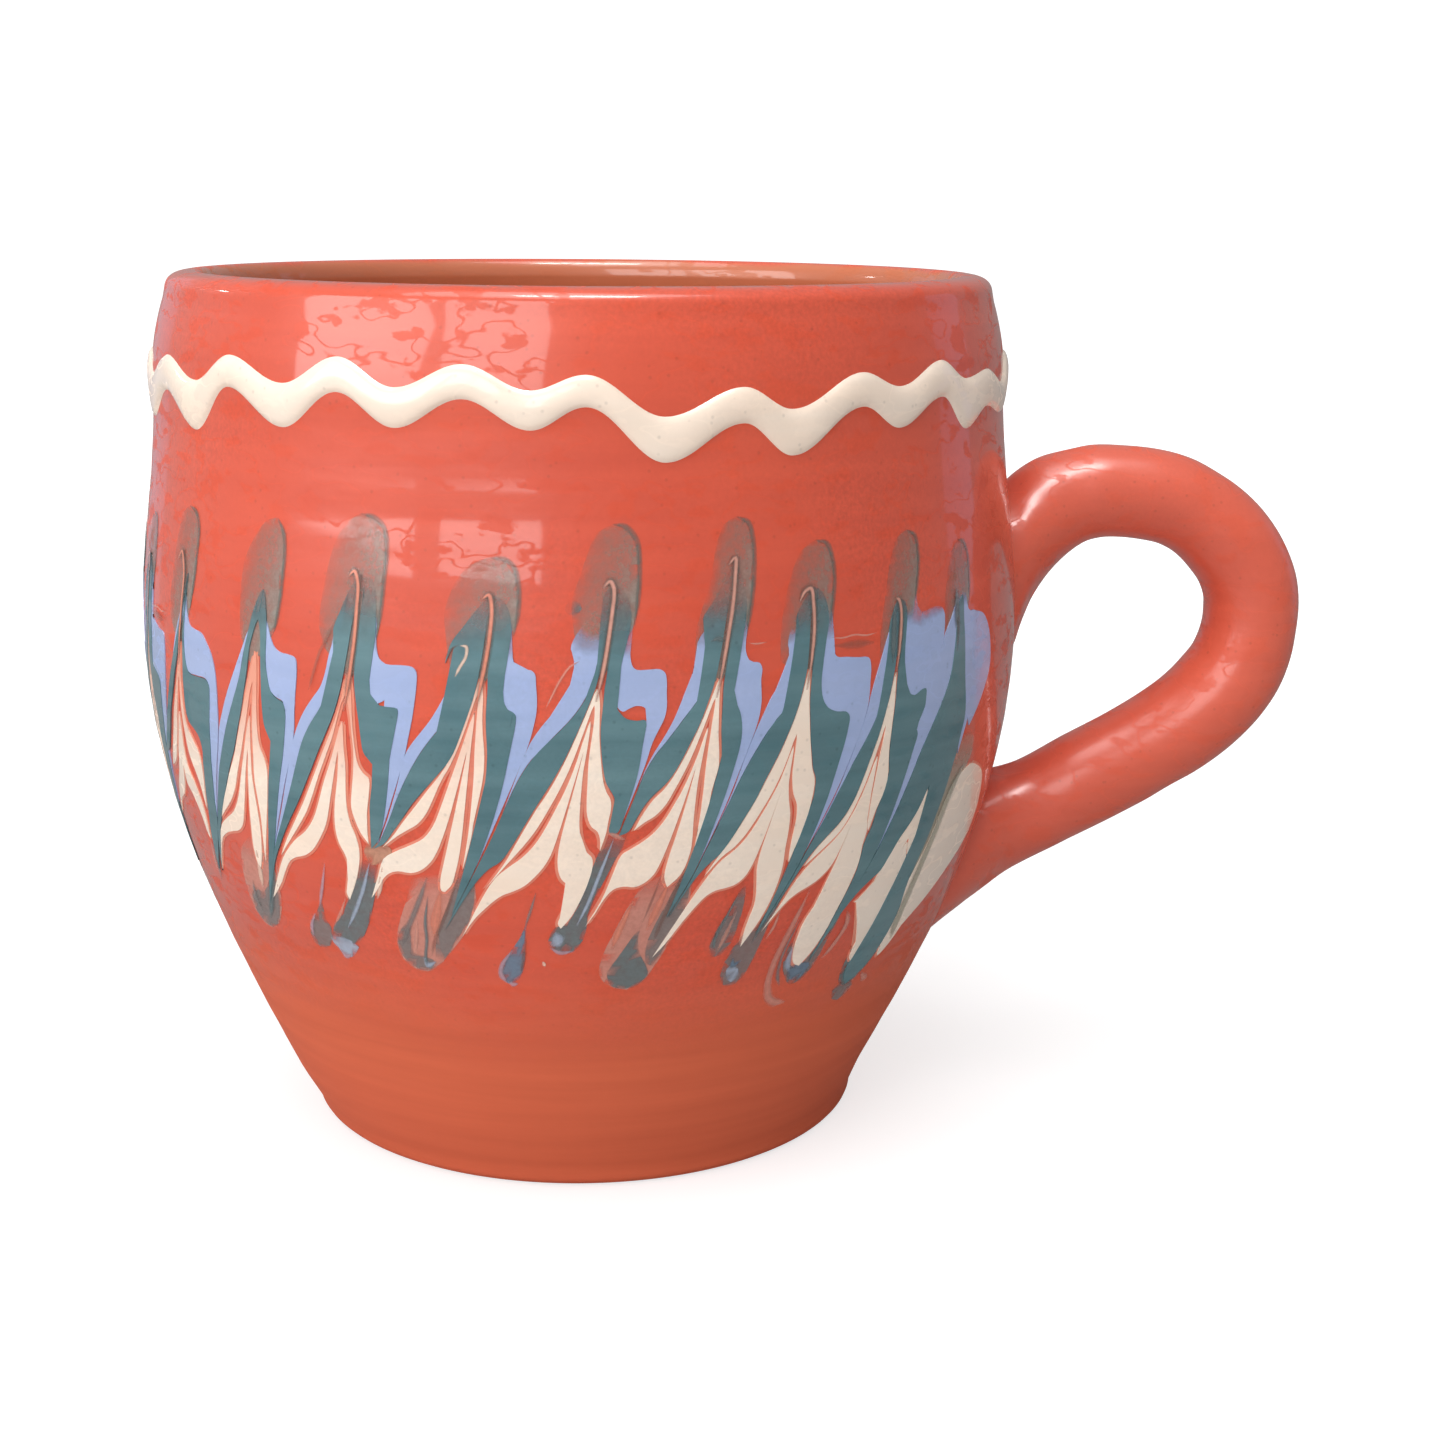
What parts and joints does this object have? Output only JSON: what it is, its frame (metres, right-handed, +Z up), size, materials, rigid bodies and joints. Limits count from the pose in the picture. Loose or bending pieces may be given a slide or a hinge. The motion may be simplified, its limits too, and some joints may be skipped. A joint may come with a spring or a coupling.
{
  "type": "slip decorated clay mug",
  "caption": "Barrel-shaped terracotta mug with one round coil handle, a trailed cream wave under the rim and a combed band of coloured slips.",
  "frame": {"origin": "centre of the flat base, on the surface that the mug stands on", "axes": "+Z up along the mug's axis, +X from the axis towards the handle"},
  "size_m": [0.1293, 0.0964, 0.093],
  "materials": {
    "terracotta_glaze": "clear glaze over orange-red earthenware, bare and matt at the foot",
    "handle_glaze": "clear glaze over orange-red earthenware",
    "cream_slip": "cream slip under clear glaze",
    "blue_slip": "light blue slip under clear glaze",
    "teal_slip": "dark teal slip under clear glaze"
  },
  "bodies": {
    "root": {"body": "terracotta_glaze", "handle": "handle_glaze", "wave_trail": "cream_slip", "slip_blue": "blue_slip", "slip_teal": "teal_slip", "slip_cream": "cream_slip"}
  },
  "joints": []
}
